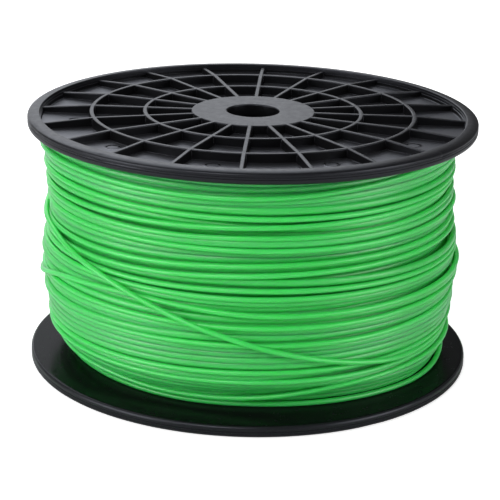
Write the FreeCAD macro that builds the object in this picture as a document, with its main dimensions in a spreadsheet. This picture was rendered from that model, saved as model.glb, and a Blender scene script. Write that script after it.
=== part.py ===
# Filament spool: two ribbed flanges on a plain barrel, wound full with filament.
# Millimetres. The origin is the bottom centre of the lower flange and +Z runs up the bore.

import FreeCAD
import Part
import Sketcher

import math
import os

Vector = FreeCAD.Vector

SIZES = [
    ("flange_radius", 77.5, "outside of the rims"),
    ("spool_width", 88.7, "outer face to outer face"),
    ("flange_thickness", 4.3, "outer face to the face that the filament lies against"),
    ("web_thickness", 1.2, "closed plate under the ribs"),
    ("rim_wall", 4.2, "radial thickness of the rim"),
    ("rim_chamfer", 1.2, "broken outer edges of the rim"),
    ("hub_radius", 21.3, "solid disc round the bore"),
    ("inner_ring_radius", 37.3, "middle of the inner ring rib"),
    ("outer_ring_radius", 55.6, "middle of the outer ring rib"),
    ("rib_thickness", 1.5, "radial and ring ribs"),
    ("rib_count", 20, "radial ribs"),
    ("rib_bearing", 87.33, "angle of the first radial rib from +X"),
    ("rib_end_drop", 1.2, "radial ribs below the outer face where they meet the rim"),
    ("bore_radius", 9.0, "hole for the holder's shaft"),
    ("lug_count", 4, "lugs that locate the barrel on each flange"),
    ("lug_width", 12.0, "width of a lug along the barrel's wall"),
    ("lug_wall", 2.0, "radial thickness of a lug"),
    ("lug_height", 6.0, "height of a lug above the flange"),
    ("barrel_radius", 37.0, "outside of the barrel"),
    ("barrel_wall", 2.2, "wall of the barrel"),
    ("fit_clearance", 0.2, "lugs to the inside of the barrel"),
    ("winding_clearance", 0.3, "wound filament to the barrel and the flanges"),
    ("foot_radius", 61.0, "inner layers at the lower flange, where the winding draws in"),
    ("shoulder_radius", 68.2, "inner layers at the top of the drawn-in foot"),
    ("shoulder_rise", 8.7, "top of the foot above the lower flange"),
    ("bulge_radius", 71.0, "inner layers at the widest place"),
    ("bulge_rise", 33.7, "height of the widest place above the lower flange"),
    ("level_radius", 68.6, "inner layers above the bulge, up to the upper flange"),
    ("level_rise", 53.7, "height above the lower flange where the bulge ends"),
    ("filament_diameter", 1.75, "one strand"),
    ("turn_clearance", 0.2, "outer turns to the inner layers"),
    ("turn_count", 7, "whole turns that climb from flange to flange"),
    ("first_turn_rise", 2.4, "first turn above the lower flange"),
    ("last_turn_drop", 2.0, "last climbing turn below the upper flange"),
    ("winding_bearing", 110.0, "angle from +X where the outer turns begin"),
    ("crossing_angle", 215.0, "angle over which the last turn comes back down"),
    ("crossing_gap", 0.6, "last turn over the turns that it crosses"),
    ("rising_angle", 40.0, "angle over which the last turn lifts off before it crosses"),
    ("landing_angle", 60.0, "angle from the end of the crossing to the end of the strand"),
    ("sinking_angle", 42.0, "angle over which the last turn sinks between two turns"),
    ("landing_turn", 1, "number of the turn above which the last turn lands"),
    ("tail_bend", 2.6, "bend where an end of the strand goes into the inner layers"),
    ("tail_clearance", 0.35, "end of the strand to the sides of its recess"),
    ("tail_seat", 0.05, "end of the strand to the floor of its recess"),
]

# Sides of the strand's section, which has the area of the round strand, and points along each side
SECTION_SIDES = 3
SIDE_POINTS = 4
# Points of the centre line in one turn: where it climbs, and where it crosses the other turns
CLIMB_POINTS = 4
CROSSING_POINTS = 16
# Points in one turn at which the gap between neighbouring turns is measured
GAP_POINTS = 72

doc = FreeCAD.newDocument("FilamentSpool")
sheet = doc.addObject("Spreadsheet::Sheet", "Sizes")
for row, (alias, number, note) in enumerate(SIZES, start=1):
    sheet.set(f"A{row}", alias)
    sheet.set(f"B{row}", str(number))
    sheet.setAlias(f"B{row}", alias)
    sheet.set(f"C{row}", note)
doc.recompute()


def bound(expression):
    """An expression in names of the sheet, with each name made into a reference to its cell."""
    names = [alias for alias, number, note in SIZES]
    return " ".join("Sizes." + word if word in names else word for word in expression.split())


def size(expression):
    """Value of an expression written in names of the sheet."""
    return float(sheet.evalExpression(bound(expression)))


def origin_of(body, role):
    """One of the body's own origin planes or axes."""
    return next(item for item in body.Origin.OriginFeatures if item.Role == role)


def new_sketch(body, name, role):
    """An empty sketch on one of the body's origin planes."""
    sketch = body.newObject("Sketcher::SketchObject", name)
    sketch.AttachmentSupport = [(origin_of(body, role), "")]
    sketch.MapMode = "FlatFace"
    sketch.Visibility = False
    return sketch


def constrain(sketch, kind, *place, expression):
    """A constraint of the sketch whose value follows the sheet."""
    value = size(expression)
    if kind == "Angle":
        value = math.radians(value)
    index = sketch.addConstraint(Sketcher.Constraint(kind, *place, value))
    sketch.setExpression(f"Constraints[{index}]", bound(expression))


def add_circle(sketch, reach):
    """A circle about the bore."""
    circle = sketch.addGeometry(Part.Circle(Vector(0, 0, 0), Vector(0, 0, 1), size(reach)), False)
    sketch.addConstraint(Sketcher.Constraint("Coincident", circle, 3, -1, 1))
    constrain(sketch, "Radius", circle, expression=reach)


def add_sector(sketch, inner, outer, sides, offset):
    """A closed outline between two radii; its two sides run parallel to spokes at the given angles.

    Each side is the spoke's angle and 1 or -1, for the way in which it is offset from the spoke.
    """
    arcs = []
    for reach in (inner, outer):
        lean = math.asin(size(offset) / size(reach))
        start, end = (math.radians(size(angle)) + way * lean for angle, way in sides)
        circle = Part.Circle(Vector(0, 0, 0), Vector(0, 0, 1), size(reach))
        arc = sketch.addGeometry(Part.ArcOfCircle(circle, start, end), False)
        sketch.addConstraint(Sketcher.Constraint("Coincident", arc, 3, -1, 1))
        constrain(sketch, "Radius", arc, expression=reach)
        arcs.append(arc)
    for end, (angle, way) in enumerate(sides, start=1):
        corners = [sketch.getPoint(arc, end) for arc in arcs]
        wall = sketch.addGeometry(Part.LineSegment(*corners), False)
        sketch.addConstraint(Sketcher.Constraint("Coincident", wall, 1, arcs[0], end))
        sketch.addConstraint(Sketcher.Constraint("Coincident", wall, 2, arcs[1], end))
        constrain(sketch, "Angle", wall, expression=angle)
        constrain(sketch, "Distance", -1, 1, wall, expression=offset)


def revolved(body, name, corners):
    """A full turn about the bore of a closed outline: for each corner its radius and its height."""
    sketch = new_sketch(body, name + "_outline", "XZ_Plane")
    places = [Vector(size(radius), size(height), 0) for radius, height in corners]
    for number, place in enumerate(places):
        sketch.addGeometry(Part.LineSegment(place, places[(number + 1) % len(places)]), False)
    for number, (radius, height) in enumerate(corners):
        following = (number + 1) % len(corners)
        sketch.addConstraint(Sketcher.Constraint("Coincident", number, 2, following, 1))
        constrain(sketch, "DistanceX", -1, 1, number, 1, expression=radius)
        constrain(sketch, "DistanceY", -1, 1, number, 1, expression=height)
    turn = body.newObject("PartDesign::Revolution", name + "_turn")
    turn.Profile = sketch
    turn.ReferenceAxis = (origin_of(body, "Z_Axis"), [""])
    turn.Angle = 360


def repeated(body, feature, count):
    """Copies of a feature, evenly round the bore."""
    pattern = body.newObject("PartDesign::PolarPattern", feature.Name + "_round")
    pattern.Originals = [feature]
    pattern.Axis = (origin_of(body, "Z_Axis"), [""])
    pattern.Angle = 360
    pattern.setExpression("Occurrences", bound(count))
    body.Tip = pattern


def make_flange(name):
    """One flange, its ribbed outer face up at height 0 and its lugs hanging below."""
    body = doc.addObject("PartDesign::Body", name)
    revolved(body, name, [
        ("bore_radius", "0"),
        ("outer_ring_radius + rib_thickness / 2", "0"),
        ("flange_radius - rim_wall", "0 - rib_end_drop"),
        ("flange_radius - rim_wall", "0"),
        ("flange_radius - rim_chamfer", "0"),
        ("flange_radius", "0 - rim_chamfer"),
        ("flange_radius", "rim_chamfer - flange_thickness"),
        ("flange_radius - rim_chamfer", "0 - flange_thickness"),
        ("bore_radius", "0 - flange_thickness"),
    ])
    add_cells(body)
    add_lugs(body)
    return body


def add_cells(body):
    """The open cells between the radial ribs and the ring ribs, down to the web."""
    sketch = new_sketch(body, body.Name + "_cells", "XY_Plane")
    spokes = [("rib_bearing - 360 / rib_count", 1), ("rib_bearing", -1)]
    rings = ["inner_ring_radius", "outer_ring_radius"]
    starts = ["hub_radius"] + [ring + " + rib_thickness / 2" for ring in rings]
    ends = [ring + " - rib_thickness / 2" for ring in rings] + ["flange_radius - rim_wall"]
    for start, end in zip(starts, ends):
        add_sector(sketch, start, end, spokes, "rib_thickness / 2")
    pocket = body.newObject("PartDesign::Pocket", body.Name + "_cell")
    pocket.Profile = sketch
    pocket.setExpression("Length", bound("flange_thickness - web_thickness"))
    repeated(body, pocket, "rib_count")


def add_lugs(body):
    """Lugs on the flange's inner face that fit inside the barrel."""
    sketch = new_sketch(body, body.Name + "_lug_outline", "XY_Plane")
    sketch.setExpression("AttachmentOffset.Base.z", bound("0 - flange_thickness"))
    outside = "barrel_radius - barrel_wall - fit_clearance"
    add_sector(sketch, outside + " - lug_wall", outside, [("0", -1), ("0", 1)], "lug_width / 2")
    lug = body.newObject("PartDesign::Pad", body.Name + "_lug")
    lug.Profile = sketch
    lug.setExpression("Length", bound("lug_height"))
    lug.Reversed = True
    repeated(body, lug, "lug_count")


def make_barrel():
    """Plain tube between the inner faces of the flanges."""
    body = doc.addObject("PartDesign::Body", "barrel")
    sketch = new_sketch(body, "barrel_section", "XY_Plane")
    add_circle(sketch, "barrel_radius")
    add_circle(sketch, "barrel_radius - barrel_wall")
    tube = body.newObject("PartDesign::Pad", "barrel_tube")
    tube.Profile = sketch
    tube.setExpression("Length", bound("spool_width - 2 * flange_thickness"))
    body.setExpression("Placement.Base.z", bound("flange_thickness"))
    return body


# Outside of the inner layers, from the lower flange up: radius and height
PACK_OUTLINE = [
    ("foot_radius", "flange_thickness + winding_clearance"),
    ("shoulder_radius", "flange_thickness + shoulder_rise"),
    ("bulge_radius", "flange_thickness + bulge_rise"),
    ("level_radius", "flange_thickness + level_rise"),
    ("level_radius", "spool_width - flange_thickness - winding_clearance"),
]


def make_inner_layers():
    """All layers of filament under the outer turns, as one plain turned solid."""
    body = doc.addObject("PartDesign::Body", "inner_layers")
    inside = "barrel_radius + winding_clearance"
    foot = (inside, PACK_OUTLINE[0][1])
    head = (inside, PACK_OUTLINE[-1][1])
    revolved(body, "inner_layers", [foot] + PACK_OUTLINE + [head])
    return body


def eased(share):
    """0 up to share 0, 1 from share 1, and a smooth rise between."""
    share = min(max(share, 0.0), 1.0)
    return share * share * (3 - 2 * share)


def tangent_arc(first, corner, last):
    """Arc from first to last, tangent to the lines that meet at corner, which is as far from both."""
    middle = (first + last) * 0.5
    half_cosine = (last - first).Length / (2 * (corner - first).Length)
    crown = middle + (corner - middle) * (half_cosine / (1 + half_cosine))
    return Part.Arc(first, crown, last).toShape()


def arc_pair(start, start_way, end, end_way):
    """Two arcs that join smoothly and run from one point and direction to another."""
    chord = end - start
    ways = start_way + end_way
    square = 4 - ways.dot(ways)
    middle = chord.dot(ways)
    reach = (math.sqrt(middle * middle + square * chord.dot(chord)) - middle) / square
    first_corner = start + start_way * reach
    last_corner = end - end_way * reach
    joint = (first_corner + last_corner) * 0.5
    return [tangent_arc(start, first_corner, joint), tangent_arc(joint, last_corner, end)]


class OuterTurns:
    """One strand that climbs round the inner layers, crosses back over itself and lands."""

    def __init__(self):
        diameter = size("filament_diameter")
        corner_share = SECTION_SIDES * math.sin(2 * math.pi / SECTION_SIDES)
        self.reach = diameter / 2 * math.sqrt(2 * math.pi / corner_share)
        self.area = math.pi * diameter ** 2 / 4
        self.straight = diameter
        self.low = size("flange_thickness + first_turn_rise")
        self.top = size("spool_width - flange_thickness - last_turn_drop")
        self.turns = int(size("turn_count"))
        self.pitch = (self.top - self.low) / self.turns
        self.bearing = math.radians(size("winding_bearing"))
        self.crossing = size("crossing_angle") / 360
        self.rising = size("rising_angle") / 360
        self.sinking = size("sinking_angle") / 360
        self.end = self.turns + self.crossing + size("landing_angle") / 360
        self.landing_turn = size("landing_turn") + 0.5
        self.lift = 2 * self.reach + size("crossing_gap")
        self.clearance = size("turn_clearance")
        self.bend = size("tail_bend")
        self.outline = [(size(radius), size(height)) for radius, height in PACK_OUTLINE]

    def pack_radius(self, height):
        """Outside radius of the inner layers at a height."""
        below = [place for place in self.outline if place[1] <= height]
        above = [place for place in self.outline if place[1] > height]
        if not below:
            return above[0][0]
        if not above:
            return below[-1][0]
        (low_radius, low), (high_radius, high) = below[-1], above[0]
        return low_radius + (high_radius - low_radius) * (height - low) / (high - low)

    def section_turn(self, height):
        """Angle by which the section has turned, since a climbing strand slowly turns on itself."""
        return (height - (self.low + self.top) / 2) / self.pack_radius(height)

    def section_points(self, height):
        """Points round the section, as distances outward and upward from its centre."""
        corners = []
        for number in range(SECTION_SIDES + 1):
            angle = self.section_turn(height) + 2 * math.pi * number / SECTION_SIDES
            corners.append((self.reach * math.cos(angle), self.reach * math.sin(angle)))
        for (out, up), (next_out, next_up) in zip(corners, corners[1:]):
            for number in range(SIDE_POINTS):
                share = number / SIDE_POINTS
                yield out + (next_out - out) * share, up + (next_up - up) * share

    def rest_radius(self, height):
        """Radius of the centre line where the strand lies on the inner layers."""
        points = self.section_points(height)
        return max(self.pack_radius(height + up) - out for out, up in points) + self.clearance

    def point(self, turn):
        """Centre of the strand after a number of turns."""
        past = turn - self.turns
        climbing = self.low + self.pitch * min(turn, self.turns)
        landing = self.low + self.pitch * (past + self.landing_turn)
        height = climbing + (landing - climbing) * eased(past / self.crossing)
        lifted = eased((past + self.rising / 2) / self.rising)
        sunk = eased((past - self.crossing) / self.sinking)
        radius = self.rest_radius(height) + self.lift * (lifted - sunk)
        angle = self.bearing + 2 * math.pi * turn
        return Vector(radius * math.cos(angle), radius * math.sin(angle), height)

    def way(self, turn):
        """Unit vector along the strand."""
        step = 0.001
        return (self.point(turn + step) - self.point(turn - step)).normalize()

    def outward(self, turn):
        """Level unit vector from the bore towards the strand."""
        place = self.point(turn)
        return Vector(place.x, place.y, 0).normalize()

    def stations(self):
        """Numbers of turns at which the centre line has a point."""
        climb = self.turns * CLIMB_POINTS - 1
        start = climb / CLIMB_POINTS
        steps = round((self.end - start) * CROSSING_POINTS)
        crossing = [start + (self.end - start) * number / steps for number in range(steps + 1)]
        return [number / CLIMB_POINTS for number in range(climb)] + crossing

    def tail(self, turn, sense):
        """One end of the strand, with sense 1 at its last end and -1 at its first.

        Gives where the strand ends, where its straight run meets the bend, the bend's corner,
        and where the bend meets the turns.
        """
        place = self.point(turn)
        corner = place + self.way(turn) * (sense * self.bend)
        bend = corner - self.outward(turn) * self.bend
        return bend - self.outward(turn) * self.straight, bend, corner, place

    def path(self):
        """Centre line: a straight end, a bend, the turns as pairs of arcs, a bend, a straight end."""
        stations = self.stations()
        first_end, first_bend, first_corner, first = self.tail(stations[0], -1)
        last_end, last_bend, last_corner, last = self.tail(stations[-1], 1)
        edges = [Part.LineSegment(first_end, first_bend).toShape()]
        edges.append(tangent_arc(first_bend, first_corner, first))
        for start, end in zip(stations, stations[1:]):
            edges += arc_pair(self.point(start), self.way(start), self.point(end), self.way(end))
        edges.append(tangent_arc(last, last_corner, last_bend))
        edges.append(Part.LineSegment(last_bend, last_end).toShape())
        return Part.Wire(edges)

    def section(self):
        """Section at the strand's first end, where it comes straight out of the inner layers."""
        end = self.tail(0, -1)[0]
        up = Vector(0, 0, 1)
        across = self.outward(0).cross(up)
        corners = []
        for number in range(SECTION_SIDES):
            angle = self.section_turn(self.low) + 2 * math.pi * number / SECTION_SIDES
            corners.append(end + (across * math.cos(angle) + up * math.sin(angle)) * self.reach)
        return Part.makePolygon(corners + corners[:1])

    def least_gap(self):
        """Least gap between stretches of the strand that lie more than half a turn apart."""
        count = int(self.end * GAP_POINTS)
        places = [self.point(self.end * number / count) for number in range(count + 1)]
        far = GAP_POINTS // 2
        least = min(
            places[one].distanceToPoint(places[other])
            for one in range(count + 1)
            for other in range(one + far, count + 1)
        )
        return least - 2 * self.reach

    def make(self):
        """The outer turns, with their gap and volume printed."""
        path = self.path()
        tube = path.makePipeShell([self.section()], True, False)
        gap = self.least_gap()
        print(f"outer turns: least gap to itself {gap:.2f} mm, pitch {self.pitch:.2f} mm")
        print(f"outer turns: volume {tube.Volume:.1f}, section times length {self.area * path.Length:.1f}")
        piece = doc.addObject("Part::Feature", "outer_turns")
        piece.Label = "filament_outer_turns"
        piece.Shape = tube
        return piece


def make_recess(name, turns, turn, sense):
    """Box that makes room for one end of the strand in the inner layers, with a flat floor."""
    end, bend, corner, place = turns.tail(turn, sense)
    out = turns.outward(turn)
    along = Vector(0, 0, 1).cross(out) * sense
    up = out.cross(along)
    side = turns.reach + turns.clearance + size("tail_clearance")
    box = doc.addObject("Part::Box", name)
    box.Length = turns.straight + turns.bend + turns.reach
    box.Width = turns.bend + side
    box.Height = 2 * side
    start = end - out * size("tail_seat") - along * turns.bend - up * side
    box.Placement = FreeCAD.Placement(start, FreeCAD.Rotation(out, along, up, "XYZ"))
    return box


def make_filament():
    """The inner layers, and the outer turns wound on them."""
    turns = OuterTurns()
    outer = turns.make()
    recesses = doc.addObject("Part::MultiFuse", "tail_recesses")
    recesses.Shapes = [
        make_recess("first_tail_recess", turns, 0, -1),
        make_recess("last_tail_recess", turns, turns.end, 1),
    ]
    core = doc.addObject("Part::Cut", "wound_core")
    core.Label = "filament_core"
    core.Base = make_inner_layers()
    core.Tool = recesses
    return [core, outer]


def check(items):
    """Stops if any object failed, or a piece's shape is missing or unsound."""
    failed = [item.Name for item in doc.Objects if "Invalid" in item.State or "Error" in item.State]
    if failed:
        raise RuntimeError("failed objects: " + ", ".join(failed))
    for item in items:
        if item.Shape.isNull() or not item.Shape.isValid() or len(item.Shape.Solids) != 1:
            raise RuntimeError("unsound shape: " + item.Label)


upper = make_flange("upper_flange")
upper.setExpression("Placement.Base.z", bound("spool_width"))
lower = make_flange("lower_flange")
lower.Placement = FreeCAD.Placement(Vector(0, 0, 0), FreeCAD.Rotation(Vector(1, 0, 0), 180))
pieces = [upper, lower, make_barrel()] + make_filament()
doc.recompute()
check(pieces)
os.makedirs("parts", exist_ok=True)
for piece in pieces:
    piece.Shape.exportStep(f"parts/{piece.Label}.step")
    print(piece.Label, f"{piece.Shape.Volume:.0f} mm3")
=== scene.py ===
"""Looks of a filament spool: two ribbed black flanges, wound full with green filament."""

import math

import bpy
import numpy as np
from mathutils import Matrix, Vector
from mathutils.geometry import tessellate_polygon


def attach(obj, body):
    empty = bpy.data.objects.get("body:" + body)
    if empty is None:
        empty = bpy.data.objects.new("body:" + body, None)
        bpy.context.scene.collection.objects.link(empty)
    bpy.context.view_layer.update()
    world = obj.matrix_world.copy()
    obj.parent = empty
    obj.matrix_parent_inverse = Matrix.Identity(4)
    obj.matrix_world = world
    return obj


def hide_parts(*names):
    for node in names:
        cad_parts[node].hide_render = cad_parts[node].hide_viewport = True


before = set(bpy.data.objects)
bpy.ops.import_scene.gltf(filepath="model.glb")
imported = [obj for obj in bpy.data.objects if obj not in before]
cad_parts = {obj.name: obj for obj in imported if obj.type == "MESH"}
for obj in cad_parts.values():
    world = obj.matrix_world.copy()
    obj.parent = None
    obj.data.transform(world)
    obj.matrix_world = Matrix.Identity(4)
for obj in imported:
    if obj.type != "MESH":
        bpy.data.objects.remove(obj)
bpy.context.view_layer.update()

# Sizes below are in millimetres and the same as in the part's source
MM = 0.001
SPOOL_WIDTH = 88.7
FLANGE_RADIUS = 77.5
FLANGE_THICKNESS = 4.3
WEB_THICKNESS = 1.2
RIM_WALL = 4.2
HUB_RADIUS = 21.3
RING_RADII = (37.3, 55.6)
RIB_THICKNESS = 1.5
RIB_COUNT = 20
RIB_BEARING = 87.33
RIB_END_DROP = 1.2
BORE_RADIUS = 9.0
LUG_OUTSIDE = 34.6
LUG_WALL = 2.0
LUG_WIDTH = 12.0
LUG_HEIGHT = 6.0
LUG_COUNT = 4

WINDING_LOW = FLANGE_THICKNESS
WINDING_TOP = SPOOL_WIDTH - FLANGE_THICKNESS


def link_mesh(name, points, faces, sharp_angle):
    """A smooth mesh object from points in millimetres; edges over the angle stay sharp."""
    mesh = bpy.data.meshes.new(name)
    mesh.from_pydata((np.asarray(points) * MM).tolist(), [], faces)
    mesh.update()
    mesh.shade_smooth()
    mesh.set_sharp_from_angle(angle=math.radians(sharp_angle))
    piece = bpy.data.objects.new(name, mesh)
    bpy.context.scene.collection.objects.link(piece)
    return piece


def grid_faces(rows, columns, close_rows=False, close_columns=False, first=0):
    """Quads between the points of a grid that is stored row by row."""
    faces = []
    for row in range(rows if close_rows else rows - 1):
        next_row = (row + 1) % rows
        for column in range(columns if close_columns else columns - 1):
            next_column = (column + 1) % columns
            faces.append((
                first + row * columns + column,
                first + row * columns + next_column,
                first + next_row * columns + next_column,
                first + next_row * columns + column,
            ))
    return faces


# The flanges. Heights run down from the outer face, which is at 0

EDGE_ROUND = 0.35
FOOT_ROUND = 0.25
WALL_DRAFT = 0.12
CELL_FLOOR = WEB_THICKNESS - FLANGE_THICKNESS
BORE_ROUND = 0.5
RIM_ROUND = 1.2
RIM_CROWN = 3.0
# Width of the rim's top that stays flat inside its crown
RIM_FLAT = 0.4
HALF_RIB = RIB_THICKNESS / 2
RIM_INSIDE = FLANGE_RADIUS - RIM_WALL
CELL_SPANS = 7
LUG_EASE = 0.3
LUG_ROOT = 0.1
LUG_STEPS = 8
# Radii of mesh lines on the hub's disc and on the inner face
HUB_LINES = [12.0, 16.0]
INNER_FACE_LINES = (70.0, 60.0, 48.0, 37.0, 26.0, 14.0)
MARK_RADIUS = 2.35
MARK_REACH = 61.0
MARK_SIDES = 28
# Share of the mark's radius and height of the lines round an ejector mark
MARK_RINGS = [
    (1.35, 0.0), (1.12, 0.0), (1.09, 0.06), (1.04, 0.06), (1.0, -0.25), (0.86, -0.25), (0.82, -0.03),
    (0.4, -0.03),
]

# Distances from a wall's top edge, outward into the cell, at which the mesh has lines
WALL_LINES = [-EDGE_ROUND * share for share in (1, 0.7, 0.38, 0.12)] + [0.0, WALL_DRAFT]
WALL_LINES += [WALL_DRAFT + FOOT_ROUND * share for share in (0.12, 0.4, 0.7, 1)]

# Fine grooves round the rim's outside: depth and height
RIM_GROOVES = [
    (0.0, -1.55), (0.14, -1.63), (0.14, -1.8), (0.0, -1.88), (0.0, -2.2), (0.18, -2.3),
    (0.18, -2.55), (0.0, -2.68), (0.0, -3.1),
]

# Small dents of the rim's outer edge: bearing, spread in radians and depth
DENTS = [
    (201, 0.016, 0.30), (206, 0.010, 0.22), (232, 0.050, 0.16), (241, 0.022, 0.12),
    (322, 0.012, 0.14), (58, 0.02, 0.15),
]
# How far a dent also goes down, as a share of its depth
DENT_DROP = 0.6

# The rim's inner wall has two fine steps: distance into the cell and height
RIM_STEPS = [
    (-0.35, 0.0), (-0.25, -0.015), (-0.13, -0.07), (-0.04, -0.19), (0.0, -0.35),
    (0.03, -0.92), (0.17, -0.98), (0.20, -1.85), (0.34, -1.91),
    (0.38, -2.65), (0.43, -2.87), (0.56, -3.05), (0.75, CELL_FLOOR),
]


def quarter_turn(steps):
    """Angles from 0 to 90 degrees in even steps."""
    return [math.radians(90 * step / steps) for step in range(steps + 1)]


def wall_height(distance, top):
    """Height of a wall with a rounded edge, a steep side and a filleted foot."""
    rounding = EDGE_ROUND - np.sqrt(np.maximum(EDGE_ROUND ** 2 - (distance + EDGE_ROUND) ** 2, 0))
    steep = EDGE_ROUND + (top - CELL_FLOOR - EDGE_ROUND - FOOT_ROUND) * distance / WALL_DRAFT
    into_foot = WALL_DRAFT + FOOT_ROUND - distance
    fillet = top - CELL_FLOOR - FOOT_ROUND
    fillet = fillet + np.sqrt(np.maximum(FOOT_ROUND ** 2 - into_foot ** 2, 0))
    drop = np.select(
        [distance <= -EDGE_ROUND, distance <= 0, distance <= WALL_DRAFT, into_foot > 0],
        [0.0, rounding, steep, fillet],
        top - CELL_FLOOR,
    )
    return top - drop


def ribbed_height(reach, rib_distance):
    """Height of the ribbed face at a radius and at a distance outside the nearest radial rib."""
    slope_start = RING_RADII[1] + HALF_RIB
    sloped = np.clip((reach - slope_start) / (RIM_INSIDE - slope_start), 0, 1)
    heights = [wall_height(rib_distance, -RIB_END_DROP * sloped)]
    for ring in RING_RADII:
        heights.append(wall_height(np.abs(reach - ring) - HALF_RIB, 0.0))
    heights.append(wall_height(reach - HUB_RADIUS, 0.0))
    distances, steps = zip(*RIM_STEPS)
    heights.append(np.interp(RIM_INSIDE - reach, distances, steps))
    return np.maximum.reduce(heights)


def ribbed_rows():
    """Radii of the lines round the ribbed face, from the hub's disc to the rim's top."""
    walls = [HUB_RADIUS + line for line in WALL_LINES]
    for ring in RING_RADII:
        walls += [ring - HALF_RIB - line for line in WALL_LINES]
        walls += [ring] + [ring + HALF_RIB + line for line in WALL_LINES]
    walls += [RIM_INSIDE - distance for distance, height in RIM_STEPS]
    return sorted(set(HUB_LINES + walls))


def rim_rows():
    """Radius and height of the lines from the rim's top round its outside to the inner face."""
    rows = [(FLANGE_RADIUS - RIM_CROWN - RIM_FLAT, 0.0)]
    for angle in quarter_turn(8):
        reach = FLANGE_RADIUS - RIM_CROWN * (1 - math.sin(angle))
        rows.append((reach, RIM_ROUND * (math.cos(angle) - 1)))
    rows += [(FLANGE_RADIUS - depth, height) for depth, height in RIM_GROOVES]
    for angle in quarter_turn(7):
        drop = FLANGE_THICKNESS - RIM_ROUND + RIM_ROUND * math.sin(angle)
        rows.append((FLANGE_RADIUS - RIM_ROUND + RIM_ROUND * math.cos(angle), -drop))
    return rows


def column_angles(reach):
    """Angles of the mesh lines at a radius: close beside every rib, and even between the ribs."""
    beside = sorted(
        [-(HALF_RIB + line) for line in WALL_LINES] + [0.0] + [HALF_RIB + line for line in WALL_LINES]
    )
    angles = []
    pitch = 2 * math.pi / RIB_COUNT
    for rib in range(RIB_COUNT):
        bearing = math.radians(RIB_BEARING) + rib * pitch
        lines = [bearing + math.asin(offset / reach) for offset in beside]
        angles += lines
        start, end = lines[-1], bearing + pitch + math.asin(beside[0] / reach)
        angles += [start + (end - start) * span / CELL_SPANS for span in range(1, CELL_SPANS)]
    distances = [abs(offset) - HALF_RIB for offset in beside]
    per_rib = distances + [max(distances)] * (CELL_SPANS - 1)
    return angles, per_rib * RIB_COUNT


def worn(angle, reach, height):
    """How far a point of the rim's outer edge lies further in because of a dent."""
    if reach < FLANGE_RADIUS - RIM_ROUND or height < -FLANGE_THICKNESS / 2:
        return 0.0
    depth = 0.0
    for bearing, spread, most in DENTS:
        away = (angle - math.radians(bearing) + math.pi) % (2 * math.pi) - math.pi
        depth += most * math.exp(-(away / spread) ** 2)
    return depth


def flange_mesh():
    """Points and faces of one moulding."""
    rows = []
    for angle in quarter_turn(4):
        reach = BORE_RADIUS + BORE_ROUND * (1 - math.cos(angle))
        rows.append((reach, BORE_ROUND * (math.sin(angle) - 1)))
    rows += [(reach, None) for reach in ribbed_rows()]
    rows += rim_rows()
    rows += [(reach, -FLANGE_THICKNESS) for reach in INNER_FACE_LINES]
    for angle in quarter_turn(4):
        reach = BORE_RADIUS + BORE_ROUND * (1 - math.sin(angle))
        rows.append((reach, -FLANGE_THICKNESS + BORE_ROUND * (1 - math.cos(angle))))
    points = []
    for reach, height in rows:
        angles, distances = column_angles(reach)
        heights = [height] * len(angles)
        if height is None:
            heights = ribbed_height(np.full(len(angles), reach), np.array(distances))
        for angle, z in zip(angles, heights):
            dent = worn(angle, reach, z)
            radius = reach - dent
            points.append((radius * math.cos(angle), radius * math.sin(angle), z - dent * DENT_DROP))
    columns = len(points) // len(rows)
    faces = grid_faces(len(rows), columns, close_rows=True, close_columns=True)
    faces = [face[::-1] for face in faces]
    add_marks(points, faces, rows, columns)
    add_lugs(points, faces)
    return points, faces


def add_marks(points, faces, rows, columns):
    """Shallow round ejector marks in every other outer cell, in place of the cell's plain floor."""
    floor_start = RING_RADII[1] + HALF_RIB + WALL_LINES[-1]
    inner_row = next(
        number for number, (reach, height) in enumerate(rows)
        if height is None and abs(reach - floor_start) < 1e-6
    )
    per_rib = columns // RIB_COUNT
    beside = per_rib - (CELL_SPANS - 1)
    dropped = set()
    added = []
    for rib in range(0, RIB_COUNT, 2):
        first = rib * per_rib + beside - 1 - per_rib
        low = [inner_row * columns + (first + span) % columns for span in range(CELL_SPANS + 1)]
        high = [number + columns for number in low]
        for span in range(CELL_SPANS):
            dropped.add((high[span], high[span + 1], low[span + 1], low[span]))
        bearing = math.radians(RIB_BEARING) + (rib - 0.5) * 2 * math.pi / RIB_COUNT
        centre = (MARK_REACH * math.cos(bearing), MARK_REACH * math.sin(bearing))
        rings = []
        for reach, height in MARK_RINGS:
            ring = []
            for side in range(MARK_SIDES):
                angle = 2 * math.pi * side / MARK_SIDES
                x = centre[0] + MARK_RADIUS * reach * math.cos(angle)
                y = centre[1] + MARK_RADIUS * reach * math.sin(angle)
                ring.append(len(points))
                points.append((x, y, CELL_FLOOR + height))
            rings.append(ring)
        for outer, inner in zip(rings, rings[1:]):
            for side in range(MARK_SIDES):
                following = (side + 1) % MARK_SIDES
                added.append((outer[side], outer[following], inner[following], inner[side]))
        added.append(tuple(rings[-1]))
        border = low + high[::-1]
        loops = [[Vector(points[number]) for number in loop] for loop in (border, rings[0])]
        numbers = border + rings[0]
        for triangle in tessellate_polygon(loops):
            corners = [numbers[corner] for corner in triangle]
            a, b, c = (points[corner] for corner in corners)
            turned = (b[0] - a[0]) * (c[1] - a[1]) - (b[1] - a[1]) * (c[0] - a[0])
            added.append(tuple(corners if turned > 0 else corners[::-1]))
    faces[:] = [face for face in faces if face not in dropped] + added


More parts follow.
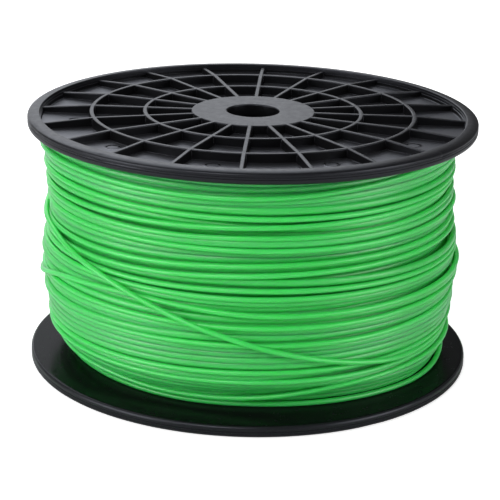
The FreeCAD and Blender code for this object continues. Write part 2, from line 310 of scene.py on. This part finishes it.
def add_lugs(points, faces):
    """The four lugs that locate the barrel, as curved blocks on the inner face."""
    inside = LUG_OUTSIDE - LUG_WALL
    top = -FLANGE_THICKNESS + LUG_ROOT
    low = -FLANGE_THICKNESS - LUG_HEIGHT
    section = [
        (inside, top), (LUG_OUTSIDE, top), (LUG_OUTSIDE, low + LUG_EASE),
        (LUG_OUTSIDE - LUG_EASE, low), (inside + LUG_EASE, low), (inside, low + LUG_EASE),
    ]
    for lug in range(LUG_COUNT):
        first = len(points)
        for step in range(LUG_STEPS + 1):
            share = 2 * step / LUG_STEPS - 1
            for reach, height in section:
                angle = 2 * math.pi / LUG_COUNT * lug + math.asin(LUG_WIDTH / 2 * share / reach)
                points.append((reach * math.cos(angle), reach * math.sin(angle), height))
        sides = len(section)
        faces += grid_faces(LUG_STEPS + 1, sides, close_columns=True, first=first)
        faces.append(tuple(first + side for side in range(sides))[::-1])
        faces.append(tuple(first + LUG_STEPS * sides + side for side in range(sides)))


def flange_material(place, normal):
    """Which of the flange's materials a face has, from its place in millimetres and its normal. Deep
    in the cells, the floors get a lighter, more reflective black as painted light, and the steep faces
    get a darker black as painted shade.
    """
    if place.z < 0.1 - FLANGE_THICKNESS:
        return smooth_black
    if place.z < -RIB_END_DROP - EDGE_ROUND and place.xy.length < RIM_INSIDE:
        # Floors deep in the cells get a lighter black, painted light; the walls there get a darker
        # black, painted shade
        return floor_black_painted_light if abs(normal.z) > 0.8 else wall_black_painted_shade
    return satin_black


def make_flange(name, node, place):
    """A detailed moulding that stands for one CAD flange."""
    points, faces = flange_mesh()
    piece = link_mesh(name, points, faces, sharp_angle=50)
    materials = [satin_black, smooth_black, floor_black_painted_light, wall_black_painted_shade]
    for material in materials:
        piece.data.materials.append(material)
    for polygon in piece.data.polygons:
        material = flange_material(polygon.center / MM, polygon.normal)
        polygon.material_index = materials.index(material)
    piece.data.transform(place)
    even = piece.modifiers.new("even", "WEIGHTED_NORMAL")
    even.keep_sharp = True
    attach(piece, "root")
    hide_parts(node)


# The filament

STRAND_RADIUS = 0.9
STRAND_SIDES = 14
# Half sizes of the section of a level turn: neighbours overlap, so the grooves are faint
LEVEL_DEPTH = 0.95
LEVEL_HEIGHT = 1.25
TURN_STEPS = 160
TURN_STEP = 360 / TURN_STEPS
# Over how many degrees a curve through measured places is eased
CURVE_SPREAD = 8.0
VISIBLE_BEARINGS = (-150, -120, -90, -60, -30)
# Turns of the visible layer that lie even with it, from the lower flange up: heights at those
# bearings as seen from above, and how deep the turn lies under the layer's outline there
LEVEL_TURNS = [
    ((7.3, 7.3, 7.3, 7.3, 7.8), (0.0, 0.3, 0.8, 0.8, 0.4)),
    ((9.5, 9.3, 9.3, 9.3, 9.5), (0.0, 0.5, 0.9, 0.9, 0.3)),
    ((11.6, 11.4, 11.4, 11.2, 11.3), (0.0, 0.2, 1.1, 0.8, 0.0)),
    ((13.6, 13.4, 13.4, 13.1, 13.2), (0.0, 0.0, 0.5, 1.2, 0.3)),
    ((15.3, 15.1, 15.1, 15.0, 15.1), 0.1),
    ((17.6, 17.9, 18.4, 18.4, 18.6), (0.3, 0.1, 0.1, 1.2, 1.8)),
    ((21.8, 22.4, 22.8, 22.9, 22.7), 0.0),
    ((24.0, 24.6, 24.7, 24.9, 25.0), 0.0),
    ((25.9, 26.5, 26.5, 26.8, 26.9), (0.0, 0.0, 0.3, 0.2, 0.0)),
    ((27.8, 28.3, 28.3, 28.4, 28.7), (0.0, 0.0, 0.3, 0.0, 0.0)),
    ((30.8, 31.9, 32.3, 32.2, 32.4), (-0.4, -0.2, 0.4, 0.6, 0.2)),
    ((34.8, 34.9, 34.1, 34.0, 34.2), (0.0, 0.0, 0.7, 0.5, 0.1)),
    ((38.9, 38.7, 38.2, 38.0, 38.1), (0.1, 0.1, 0.7, 0.6, 0.1)),
    ((42.3, 42.4, 42.0, 42.0, 42.0), (0.3, 0.3, 0.7, 0.8, 0.8)),
    ((44.4, 44.5, 44.0, 43.8, 43.4), (0.1, 0.1, 0.1, 0.2, 0.2)),
    ((49.9, 50.2, 50.9, 50.0, 48.9), (0.4, 0.4, 0.3, 0.0, 0.0)),
    ((53.0, 53.2, 54.9, 55.5, 55.4), (0.9, 0.9, 0.6, 0.4, 0.2)),
    ((56.7, 57.2, 57.8, 57.9, 57.9), (0.1, 0.2, 0.8, 0.8, 0.7)),
    ((59.0, 59.0, 59.5, 59.6, 59.6), (0.1, 0.4, 0.7, 0.6, 0.5)),
    ((63.4, 63.2, 63.6, 63.5, 64.1), -0.2),
    ((70.2, 70.0, 68.5, 67.6, 68.4), (0.3, 0.4, 0.6, 0.1, 0.1)),
    ((75.1, 74.4, 74.0, 74.0, 74.3), 0.1),
    ((77.0, 76.2, 76.6, 77.8, 78.8), (0.1, 0.1, 0.4, 0.1, 0.1)),
    ((78.9, 78.3, 78.5, 79.6, 80.6), (0.1, 0.2, 0.3, 0.2, 0.0)),
    ((81.3, 81.0, 80.6, 81.5, 82.3), (0.0, 0.3, 0.5, 0.3, 0.1)),
    ((83.2, 82.9, 82.4, 83.3, 83.5), 0.5),
]
# Turns that stand out over the others
RAISED_TURNS = [
    (11.4, 7.7, 7.9, 14.3, 15.0),
    (16.6, 16.5, 16.8, 16.7, 16.9),
    (19.6, 20.0, 20.5, 20.3, 20.8),
    (29.2, 30.1, 30.2, 30.1, 30.5),
    (36.9, 36.8, 36.1, 36.0, 36.2),
    (41.0, 43.7, 40.2, 39.9, 40.1),
    (46.3, 46.2, 45.7, 45.6, 44.9),
    (48.6, 48.3, 48.6, 47.9, 47.0),
    (51.2, 51.7, 53.3, 54.1, 54.1),
    (54.5, 54.9, 56.5, 56.9, 56.7),
    (61.2, 61.5, 61.3, 61.1, 61.6),
    (65.2, 64.7, 65.6, 65.4, 66.1),
    (67.5, 67.9, 68.9, 69.5, 70.3),
    (72.7, 72.2, 71.7, 71.7, 72.0),
    (79.6, 78.5, 78.1, 80.2, 82.7),
]
RAISED_BY = 0.5
# The crossing turn is pulled straight and lies less close to what is under it at the front
CROSSING_RISE = 0.6
# The middle of a strand, seen from above, lies this much over its centre line
SEEN_ABOVE = 0.4
# The last turn: it comes from the top of the winding round the back, crosses down over all
# the others at the front, lands and ends under its neighbours. Bearing and height
CROSSING_TURN = [
    (-30, 82.7), (15, 81.8), (60, 79.0), (110, 72.0), (150, 62.0), (187, 54.8), (203, 54.1),
    (207.2, 53.6), (216.1, 50.2), (232.6, 47.2), (250.1, 38.8), (266, 32.9), (283.4, 26.0),
    (300.3, 21.3), (309, 20.0), (319.6, 19.0), (332.6, 18.8), (360, 19.2), (400, 19.6), (430, 19.8),
]
# One raised turn comes up steeply at the left and has a small kink there: which turn it is,
# the bearing and height of the kink, how far it stands out and over how many degrees
KINK_TURN = 5
KINK_PLACE = (-176, 32.0)
KINK_RISE = 0.2
KINK_SPREAD = 2.5
# The lowest turn lies on the flange and stands off loosely at the right. Bearing, radius, height
LOOSE_TURN = [
    (30, 66.0, 5.3), (90, 65.5, 5.3), (150, 65.0, 5.2), (189, 63.6, 5.2), (205, 61.6, 5.2),
    (225, 60.7, 5.2), (240, 61.0, 5.2), (252, 61.3, 5.2), (262, 60.8, 5.2), (277, 61.0, 5.2),
    (290, 62.6, 5.2), (314, 65.4, 5.2), (326, 67.6, 5.2), (338, 68.6, 5.3), (350, 68.9, 6.6),
    (365, 68.9, 8.6), (390, 68.4, 9.4), (430, 67.7, 9.8), (460, 67.0, 10.0),
]
# The winding's foot is fuller at the right. Bearing and extra radius at the lower flange
FOOT_SWELL = [
    (-180, 1.5), (-157, 0.0), (-90, 0.0), (-64, 2.2), (-46, 4.4), (-34, 5.8), (-18, 6.0),
    (60, 5.0), (180, 1.5),
]
FOOT_TOP = 17.0
# The winding isn't even: height and how far it stands out further at the left and at the right
LEFT_RUFFLES = [
    (22, -0.1), (24.5, -0.4), (26.4, -0.7), (28.6, -0.6), (31, 0.1), (37, 0.5), (40, 0.3), (42, 1.7),
    (44, 0.5), (48, -0.4), (51, -0.4), (53, -0.2), (58, 0.0), (60, 0.2), (66, 0.6), (70, 1.1),
    (75, 1.8), (84, 1.8),
]
RIGHT_RUFFLES = [
    (14, -0.2), (17, -0.6), (21, -0.6), (24, -0.4), (27, 0.4), (31, -0.7), (34, -0.2), (36.5, 0.6),
    (39, 1.6), (41, 0.7), (45, -0.7), (48, 0.6), (50, 1.0), (53, 0.3), (56, -0.8), (61, 0.5),
    (63, 0.4), (66, -1.0), (68, -1.4), (71, -0.5), (76, 0.6), (84, 0.6),
]
SIDE_SHARPNESS = 5
# At the front the turns differ more in depth: share added, and extra rise of the raised ones
FRONT_RELIEF = 1.3
FRONT_RISE = 0.5

# Centre line of the level turns: radius and height
LEVEL_OUTLINE = [
    (60.8, 6.8), (64.0, 9.9), (67.6, 13.6), (69.7, 18.0), (70.7, 24.0), (71.3, 32.0),
    (71.3, 40.0), (70.6, 48.0), (69.8, 54.0), (69.4, 60.0), (69.3, 83.5),
]
# Spacing of two level turns, and how deep the turn beneath lies between them
NEST_DEPTHS = [(2.3, 0.3), (3.1, 0.6), (4.5, 1.0)]
# Distance of the centre line of a raised turn from those of the turns it presses on
SEAT_DISTANCE = 1.5
# Both ends of a strand dive under their neighbours: how deep and over how many degrees
END_DIVE = 8.0
END_SPAN = 60
# The level turns also wander a little in height: waves in each turn, their height and the
# part of a wave by which they shift from turn to turn
WAVE_COUNTS = (3, 5, 8)
WAVE_HEIGHT = 0.12
WAVE_SHIFT = 0.37
# Over how many degrees the crossing turn leaves the raised turns, without resting on them
JOIN_SPAN = 20
# How often the radii of the raised turns, the crossing turn and the whole strand are eased
RAISED_EASE = 12
CROSSING_EASE = 16
STRAND_EASE = 6
# Gap between the strand on top and the upper flange
TOP_GAP = 0.05

# The body of inner layers: its bore, its gap to the flanges, spacing and height of its
# ridges, and how deep it lies under the level turns
INNER_BORE = 37.35
INNER_GAP = 0.32
INNER_DEPTH = 2.2
RIDGE_PITCH = 1.9
RIDGE_HEIGHT = 0.5
RIDGE_STEPS = 7
INNER_COLUMNS = 96


def smoothly(values, rounds, support=None):
    """Values eased along a strand, never below what supports them."""
    for _ in range(rounds):
        padded = np.concatenate([values[:1], values, values[-1:]])
        values = (padded[:-2] + 2 * padded[1:-1] + padded[2:]) / 4
        if support is not None:
            values = np.maximum(values, support)
    return values


def curve_through(places, bearings):
    """Smooth curve through (bearing, value) places, at even bearings."""
    known, wanted = zip(*places)
    values = np.interp(bearings, known, wanted)
    return smoothly(values, int(2 * (CURVE_SPREAD / TURN_STEP) ** 2))


def bearings_between(start, end):
    """Even bearings that fall on the common steps of a turn."""
    return np.arange(round(start / TURN_STEP), round(end / TURN_STEP) + 1) * TURN_STEP


def strand_mesh(line, sides, depth, height):
    """Points and faces of a round strand along a centre line that runs round the bore."""
    angles = np.arange(sides) * 2 * math.pi / sides
    ways = np.gradient(line, axis=0)
    ways /= np.linalg.norm(ways, axis=1)[:, None]
    outward = line * [1, 1, 0]
    outward /= np.linalg.norm(outward, axis=1)[:, None]
    up = np.cross(outward, ways)
    up /= np.linalg.norm(up, axis=1)[:, None]
    out = np.cross(ways, up)
    rings = (
        line[:, None, :]
        + depth * np.cos(angles)[None, :, None] * out[:, None, :]
        + height * np.sin(angles)[None, :, None] * up[:, None, :]
    )
    count = len(line)
    faces = [face[::-1] for face in grid_faces(count, sides, close_columns=True)]
    faces.append(tuple(range(sides)))
    faces.append(tuple((count - 1) * sides + side for side in range(sides))[::-1])
    return rings.reshape(-1, 3), faces


def line_from(bearings, radii, heights):
    """Centre line from bearings in degrees, radii and heights."""
    angles = np.radians(bearings)
    return np.stack([radii * np.cos(angles), radii * np.sin(angles), heights], axis=-1)


def layer_radius(bearings, heights):
    """Radius of the visible layer's outline at each place."""
    radii, levels = (np.array(column) for column in zip(*LEVEL_OUTLINE))
    places, extra = (np.array(column) for column in zip(*FOOT_SWELL))
    swell = np.interp((bearings + 180) % 360 - 180, places, extra)
    share = np.clip((FOOT_TOP - heights) / (FOOT_TOP - levels[0]), 0, 1)
    radius = np.interp(heights, levels, radii) + swell * share
    across = np.cos(np.radians(bearings))
    for ruffles, side in ((LEFT_RUFFLES, -across), (RIGHT_RUFFLES, across)):
        places, extra = zip(*ruffles)
        radius = radius + np.interp(heights, places, extra) * np.clip(side, 0, 1) ** SIDE_SHARPNESS
    return radius


def frontness(bearings):
    """1 at the middle of the front, falling to 0 at the sides and at the back."""
    return np.clip(-np.sin(np.radians(bearings)), 0, 1) ** 2


def with_hidden_ends(bearings, radii):
    """Radii of a strand whose two ends dive under the turns beside them."""
    to_end = np.minimum(bearings - bearings[0], bearings[-1] - bearings)
    return radii - END_DIVE * np.clip(1 - to_end / END_SPAN, 0, 1) ** 2


def level_strand(generator):
    """One strand through all the level turns."""
    heights, depths = [], []
    for number, (turn, depth) in enumerate(LEVEL_TURNS, start=1):
        places = [360 * number + bearing for bearing in VISIBLE_BEARINGS]
        heights += zip(places, turn)
        depths += zip(places, np.broadcast_to(depth, len(places)))
    bearings = bearings_between(90, 360 * len(LEVEL_TURNS) + 90)
    height = curve_through(heights, bearings) - SEEN_ABOVE
    for waves in WAVE_COUNTS:
        size = WAVE_HEIGHT / waves
        phase, lean = generator.uniform(0, 2 * math.pi), generator.uniform(0.4, 1.0)
        height = height + size * lean * np.sin(np.radians(bearings) * (waves + WAVE_SHIFT) + phase)
    height = np.clip(height, WINDING_LOW + LEVEL_HEIGHT, WINDING_TOP - LEVEL_HEIGHT)
    relief = 1 + FRONT_RELIEF * frontness(bearings)
    radius = layer_radius(bearings, height) - relief * curve_through(depths, bearings)
    return bearings, with_hidden_ends(bearings, radius), height


def nested_strand(level):
    """The turns of the layer beneath, which lie in the grooves between the level turns."""
    bearings, radii, heights = level
    lower, upper = slice(0, len(bearings) - TURN_STEPS), slice(TURN_STEPS, None)
    spacings, depths = zip(*NEST_DEPTHS)
    depth = np.interp(heights[upper] - heights[lower], spacings, depths)
    radius = np.minimum(radii[lower], radii[upper]) - depth
    return bearings[lower], radius, (heights[lower] + heights[upper]) / 2


def rest_radius(bearings, heights, layers):
    """Radius at which a strand rests on the strands under it at each bearing."""
    support = np.zeros(len(bearings))
    slots = np.round((bearings % 360) * TURN_STEPS / 360).astype(int) % TURN_STEPS
    for under_bearings, under_radii, under_heights in layers:
        under_slots = np.round((under_bearings % 360) * TURN_STEPS / 360).astype(int) % TURN_STEPS
        for slot in range(TURN_STEPS):
            mine = np.nonzero(slots == slot)[0]
            theirs = np.nonzero(under_slots == slot)[0]
            if not len(mine) or not len(theirs):
                continue
            apart = heights[mine][:, None] - under_heights[theirs][None, :]
            lift = np.sqrt(np.maximum(SEAT_DISTANCE ** 2 - apart ** 2, 0))
            touch = np.where(lift > 0, under_radii[theirs][None, :] + lift, 0)
            support[mine] = np.maximum(support[mine], touch.max(axis=1))
    return support


def top_strand(level):
    """The strand on top: the loose turn, the raised turns and the one that crosses them."""
    loose = bearings_between(LOOSE_TURN[0][0], LOOSE_TURN[-1][0])
    loose_radii = curve_through([(bearing, radius) for bearing, radius, height in LOOSE_TURN], loose)
    loose_heights = curve_through([(bearing, height) for bearing, radius, height in LOOSE_TURN], loose)
    places = [(LOOSE_TURN[-1][0], LOOSE_TURN[-1][2])]
    for number, turn in enumerate(RAISED_TURNS, start=2):
        if number == KINK_TURN + 2:
            kink = 360 * number + KINK_PLACE[0]
            places.append((kink, KINK_PLACE[1]))
        places += [(360 * number + bearing, height) for bearing, height in zip(VISIBLE_BEARINGS, turn)]
    raised = bearings_between(places[0][0] + TURN_STEP, places[-1][0])
    raised_heights = curve_through(places, raised) - SEEN_ABOVE
    raised_radii = layer_radius(raised, raised_heights) + RAISED_BY + FRONT_RISE * frontness(raised)
    for start in range(0, len(raised), TURN_STEPS):
        part = slice(start, start + TURN_STEPS)
        under = slice(max(start - 2 * TURN_STEPS, 0), start)
        lower = [level, (raised[under], raised_radii[under], raised_heights[under])]
        support = rest_radius(raised[part], raised_heights[part], lower)
        raised_radii[part] = np.maximum(raised_radii[part], support)
    raised_radii = smoothly(raised_radii, RAISED_EASE, raised_radii)
    lower = [level, (raised, raised_radii, raised_heights)]
    offset = places[-1][0] - CROSSING_TURN[0][0]
    places = [(bearing + offset, height) for bearing, height in CROSSING_TURN]
    crossing = bearings_between(places[0][0] + TURN_STEP, places[-1][0])
    crossing_heights = curve_through(places, crossing) - SEEN_ABOVE
    joining = crossing < places[0][0] + JOIN_SPAN
    support = np.where(
        joining,
        rest_radius(crossing, crossing_heights, lower[:1]),
        rest_radius(crossing, crossing_heights, lower),
    )
    support = np.maximum(support, layer_radius(crossing, crossing_heights) + RAISED_BY)
    crossing_radii = smoothly(support, CROSSING_EASE, support)
    crossing_radii = crossing_radii + CROSSING_RISE * frontness(crossing)
    bearings = np.concatenate([loose, raised, crossing])
    radii = np.concatenate([loose_radii, raised_radii, crossing_radii])
    heights = np.concatenate([loose_heights, raised_heights, crossing_heights])
    low, top = WINDING_LOW + STRAND_RADIUS, WINDING_TOP - STRAND_RADIUS - TOP_GAP
    radii = smoothly(radii, STRAND_EASE) + KINK_RISE * np.exp(-((bearings - kink) / KINK_SPREAD) ** 2)
    heights = np.clip(smoothly(heights, STRAND_EASE), low, top)
    return bearings, with_hidden_ends(bearings, radii), heights


def make_inner_layers():
    """The layers below the visible one: a turned body with a ridge for each turn."""
    radii, heights = (np.array(column) for column in zip(*LEVEL_OUTLINE))
    low, top = WINDING_LOW + INNER_GAP, WINDING_TOP - INNER_GAP
    count = int((top - low) / RIDGE_PITCH)
    profile = [(INNER_BORE, low)]
    for ridge in range(count):
        for step in range(RIDGE_STEPS):
            angle = math.pi * step / RIDGE_STEPS
            height = low + (top - low) * (ridge + 0.5 - 0.5 * math.cos(angle)) / count
            depth = INNER_DEPTH - RIDGE_HEIGHT * math.sin(angle)
            profile.append((np.interp(height, heights, radii) - depth, height))
    profile += [(profile[-1][0], top), (INNER_BORE, top)]
    points = []
    for radius, height in profile:
        for column in range(INNER_COLUMNS):
            angle = 2 * math.pi * column / INNER_COLUMNS
            points.append((radius * math.cos(angle), radius * math.sin(angle), height))
    faces = grid_faces(len(profile), INNER_COLUMNS, close_rows=True, close_columns=True)
    return link_mesh("filament_inner_layers", points, faces, sharp_angle=60)


def make_strand(name, line, depth=STRAND_RADIUS, height=STRAND_RADIUS):
    """A piece that is one round strand along a centre line given as bearings, radii and heights."""
    points, faces = strand_mesh(line_from(*line), STRAND_SIDES, depth, height)
    return link_mesh(name, points, faces, sharp_angle=60)


def make_filament():
    """All pieces of the wound filament."""
    generator = np.random.default_rng(7)
    level = level_strand(generator)
    inner = make_inner_layers()
    nested = make_strand("filament_nested_turns", nested_strand(level), LEVEL_DEPTH, LEVEL_HEIGHT)
    layer = make_strand("filament_level_turns", level, LEVEL_DEPTH, LEVEL_HEIGHT)
    top = make_strand("filament_top_turns", top_strand(level))
    for piece in (inner, nested, layer, top):
        # The strand on top gets a lighter copy of the green, painted light; the layers and turns
        # beneath get a darker copy, painted shade
        piece.data.materials.append(top_green_painted_light if piece is top else layer_green_painted_shade)
        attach(piece, "root")
    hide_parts("filament_core")
    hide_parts("filament_core")
    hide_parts("filament_core")
    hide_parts("filament_outer_turns")


# Materials

BLACK_TINT = (0.84, 0.87, 1.0, 1)
FILAMENT_SHADER = {
    "IOR": 1.65,
    "Coat Weight": 0.6,
    "Coat Roughness": 0.22,
    "Coat IOR": 1.3,
    "Subsurface Weight": 0.9,
    "Subsurface Radius": (0.3, 1.0, 0.4),
    "Subsurface Scale": 0.003,
}


def new_material(name):
    """A material with its node tree and its main shader."""
    material = bpy.data.materials.new(name)
    material.use_nodes = True
    shader = material.node_tree.nodes["Principled BSDF"]
    return material, material.node_tree, shader


def add_node(tree, kind, **values):
    """A node with its inputs set by name."""
    node = tree.nodes.new(kind)
    for name, value in values.items():
        node.inputs[name.replace("_", " ")].default_value = value
    return node


def noise(tree, scale, detail=3.0, roughness=0.5, stretch=None):
    """Noise in the object's own coordinates, in metres, and stretched if asked."""
    place = tree.nodes.new("ShaderNodeTexCoord").outputs["Object"]
    if stretch:
        mapping = add_node(tree, "ShaderNodeMapping", Scale=stretch)
        tree.links.new(place, mapping.inputs["Vector"])
        place = mapping.outputs["Vector"]
    texture = add_node(tree, "ShaderNodeTexNoise", Scale=scale, Detail=detail, Roughness=roughness)
    tree.links.new(place, texture.inputs["Vector"])
    return texture.outputs["Fac"]


def ramp(tree, value, stops):
    """Colours or greys picked by a value."""
    node = tree.nodes.new("ShaderNodeValToRGB")
    elements = node.color_ramp.elements
    while len(elements) < len(stops):
        elements.new(0.5)
    for element, (place, colour) in zip(elements, stops):
        element.position = place
        element.color = (*colour, 1) if len(colour) == 3 else (colour[0],) * 3 + (1,)
    tree.links.new(value, node.inputs["Fac"])
    return node.outputs["Color"]


def bump(tree, value, distance, strength, before=None):
    """A bump of a height in metres."""
    node = add_node(tree, "ShaderNodeBump", Strength=strength, Distance=distance)
    tree.links.new(value, node.inputs["Height"])
    if before:
        tree.links.new(before, node.inputs["Normal"])
    return node.outputs["Normal"]


def black_plastic(name, tone, rough, grain, index=1.46, scuffed=0.065):
    """Moulded black plastic with a fine grain, faint scuffs and uneven gloss."""
    material, tree, shader = new_material(name)
    shader.inputs["IOR"].default_value = index
    shader.inputs["Specular Tint"].default_value = BLACK_TINT
    patches = noise(tree, 60.0, detail=4.0)
    scuffs = noise(tree, 420.0, detail=5.0, roughness=0.65, stretch=(1.0, 1.0, 3.5))
    colour = ramp(tree, patches, [(0.3, [value * 0.8 for value in tone]), (0.7, tone)])
    tree.links.new(colour, shader.inputs["Base Color"])
    gloss = ramp(tree, scuffs, [(0.3, (rough - scuffed,)), (0.75, (rough + scuffed,))])
    tree.links.new(gloss, shader.inputs["Roughness"])
    fine = noise(tree, 2600.0, detail=2.0)
    normal = bump(tree, fine, 0.00004, grain)
    normal = bump(tree, patches, 0.0004, 0.4 * grain, normal)
    tree.links.new(normal, shader.inputs["Normal"])
    return material


def filament_material(name, dark, light):
    """Extruded green plastic, glossy and slightly translucent."""
    material, tree, shader = new_material(name)
    shader.subsurface_method = "RANDOM_WALK"
    for socket, value in FILAMENT_SHADER.items():
        shader.inputs[socket].default_value = value
    tones = noise(tree, 40.0, detail=2.0, stretch=(0.35, 0.35, 5.0))
    colour = ramp(tree, tones, [(0.3, dark), (0.7, light)])
    tree.links.new(colour, shader.inputs["Base Color"])
    gloss = ramp(tree, noise(tree, 500.0, detail=2.0), [(0.3, (0.38,)), (0.7, (0.44,))])
    tree.links.new(gloss, shader.inputs["Roughness"])
    return material


# Surroundings and camera

CAMERA_DISTANCE = 601.5
CAMERA_ELEVATION = 13.94
CAMERA_TILT = -4.60
CAMERA_ROLL = 1.35
FOCAL_PIXELS = 1735.5
PICTURE_WIDTH = 500
SENSOR_WIDTH = 36.0
WHITE = (1.0, 1.0, 1.0)
COOL = (0.92, 0.95, 1.0)
# Name, place in metres, size, power and colour of each lamp, and where they all point
LAMPS = [
    ("key", (-1.32, -0.60, 0.62), 1.5, 7.5, WHITE),
    ("side", (-1.25, -0.66, 0.22), 0.9, 7.2, WHITE),
    ("front", (-0.40, -1.15, 1.00), 0.45, 5.3, WHITE),
    ("fill", (1.25, -0.55, 0.34), 0.9, 8.4, WHITE),
    ("top", (-0.25, 0.70, 0.95), 1.0, 6.0, COOL),
    ("back", (-0.50, 1.65, 0.50), 1.4, 5.2, COOL),
]
LAMP_AIM = (0, 0, 0.05)
# Grey of the world at the left and at the right, and over which span it changes
WORLD_LEFT = 0.16
WORLD_RIGHT = 0.09
WORLD_SPAN = 0.8
FLOOR_REACH = 6.0
FLOOR_TONE = 0.8
FLOOR_GLOW = 0.75


def make_camera():
    """Camera where the photograph was taken from: it looks down past the upper flange's centre."""
    elevation, tilt, roll = (
        math.radians(angle) for angle in (CAMERA_ELEVATION, CAMERA_TILT, CAMERA_ROLL)
    )
    away = Vector((0, -math.cos(elevation), math.sin(elevation)))
    right = Vector((1, 0, 0))
    forward = Matrix.Rotation(tilt, 3, right) @ -away
    up = right.cross(forward)
    across = right * math.cos(roll) + up * math.sin(roll)
    upward = up * math.cos(roll) - right * math.sin(roll)
    data = bpy.data.cameras.new("camera")
    data.sensor_width = SENSOR_WIDTH
    data.lens = FOCAL_PIXELS / PICTURE_WIDTH * SENSOR_WIDTH
    camera = bpy.data.objects.new("camera", data)
    place = (Vector((0, 0, SPOOL_WIDTH)) + away * CAMERA_DISTANCE) * MM
    turn = Matrix((across, upward, -forward)).transposed().to_4x4()
    camera.matrix_world = Matrix.Translation(place) @ turn
    bpy.context.scene.collection.objects.link(camera)
    bpy.context.scene.camera = camera


def make_lamp(name, place, size, power, colour):
    """A square soft lamp that faces the spool."""
    data = bpy.data.lights.new(name, "AREA")
    data.shape = "SQUARE"
    data.size = size
    data.energy = power
    data.color = colour
    lamp = bpy.data.objects.new(name, data)
    lamp.visible_camera = False
    away = Vector(place) - Vector(LAMP_AIM)
    lamp.matrix_world = Matrix.Translation(place) @ away.to_track_quat("Z", "Y").to_matrix().to_4x4()
    bpy.context.scene.collection.objects.link(lamp)


def seen_directly(tree):
    """1 for what the camera sees directly, and 0 for the light that falls on things."""
    path = tree.nodes.new("ShaderNodeLightPath")
    return path.outputs["Is Camera Ray"]


def make_world():
    """White for what is seen directly and a plain grey for the light it gives."""
    world = bpy.data.worlds.new("studio")
    world.use_nodes = True
    tree = world.node_tree
    background = tree.nodes["Background"]
    mix = tree.nodes.new("ShaderNodeMix")
    mix.data_type = "RGBA"
    mix.inputs[7].default_value = (*WHITE, 1)
    direction = tree.nodes.new("ShaderNodeTexCoord").outputs["Generated"]
    split = tree.nodes.new("ShaderNodeSeparateXYZ")
    tree.links.new(direction, split.inputs["Vector"])
    span = add_node(tree, "ShaderNodeMapRange", From_Min=-WORLD_SPAN, From_Max=WORLD_SPAN)
    tree.links.new(split.outputs["X"], span.inputs["Value"])
    grey = ramp(tree, span.outputs["Result"], [(0.0, (WORLD_LEFT,)), (1.0, (WORLD_RIGHT,))])
    tree.links.new(grey, mix.inputs[6])
    tree.links.new(seen_directly(tree), mix.inputs[0])
    tree.links.new(mix.outputs[2], background.inputs["Color"])
    bpy.context.scene.world = world


def make_floor():
    """A pale floor that keeps the spool's shadow."""
    corners = [(x * FLOOR_REACH, y * FLOOR_REACH, 0) for x, y in ((-1, -1), (1, -1), (1, 1), (-1, 1))]
    mesh = bpy.data.meshes.new("floor")
    mesh.from_pydata(corners, [], [(0, 1, 2, 3)])
    floor = bpy.data.objects.new("floor", mesh)
    bpy.context.scene.collection.objects.link(floor)
    material, tree, shader = new_material("floor_white")
    shader.inputs["Base Color"].default_value = (FLOOR_TONE, FLOOR_TONE, FLOOR_TONE, 1)
    shader.inputs["Roughness"].default_value = 0.9
    shader.inputs["Specular IOR Level"].default_value = 0.0
    glow = add_node(tree, "ShaderNodeEmission", Color=(*WHITE, 1), Strength=FLOOR_GLOW)
    dark = add_node(tree, "ShaderNodeEmission", Color=(0, 0, 0, 1), Strength=0.0)
    pick = tree.nodes.new("ShaderNodeMixShader")
    tree.links.new(seen_directly(tree), pick.inputs[0])
    tree.links.new(dark.outputs[0], pick.inputs[1])
    tree.links.new(glow.outputs[0], pick.inputs[2])
    total = tree.nodes.new("ShaderNodeAddShader")
    tree.links.new(shader.outputs[0], total.inputs[0])
    tree.links.new(pick.outputs[0], total.inputs[1])
    tree.links.new(total.outputs[0], tree.nodes["Material Output"].inputs["Surface"])
    mesh.materials.append(material)


satin_black = black_plastic("flange_black", (0.008, 0.008, 0.0095), 0.36, 0.3)
smooth_black = black_plastic("flange_inner_black", (0.006, 0.006, 0.007), 0.24, 0.1, index=1.13)
# Copies of the flange's black for deep in the cells: lighter and more reflective for the floors,
# painted light; darker and less reflective for the walls, painted shade
floor_black_painted_light = black_plastic(
    "flange_floor_painted_light", (0.021, 0.021, 0.023), 0.33, 0.0, index=2.0, scuffed=0.02
)
wall_black_painted_shade = black_plastic(
    "flange_wall_painted_shade", (0.006, 0.006, 0.0065), 0.33, 0.0, index=1.3, scuffed=0.02
)
barrel_black = black_plastic("barrel_black", (0.012, 0.012, 0.013), 0.45, 0.3)
# Two copies of one filament green: a darker one for the layers and turns beneath, painted shade, and a
# lighter one for the strand on top, painted light
layer_green_painted_shade = filament_material("filament_painted_shade_green", (0.042, 0.62, 0.104), (0.062, 0.72, 0.144))
top_green_painted_light = filament_material("filament_painted_light_green", (0.046, 0.70, 0.112), (0.068, 0.80, 0.154))

make_flange("upper_flange_moulding", "upper_flange", Matrix.Translation((0, 0, SPOOL_WIDTH * MM)))
make_flange("lower_flange_moulding", "lower_flange", Matrix.Rotation(math.pi, 4, "X"))
make_filament()
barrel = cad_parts["barrel"]
barrel.data.materials.clear()
barrel.data.materials.append(barrel_black)

make_camera()
make_world()
make_floor()
for lamp in LAMPS:
    make_lamp(*lamp)
bpy.context.scene.view_settings.view_transform = "Standard"

bpy.context.view_layer.update()
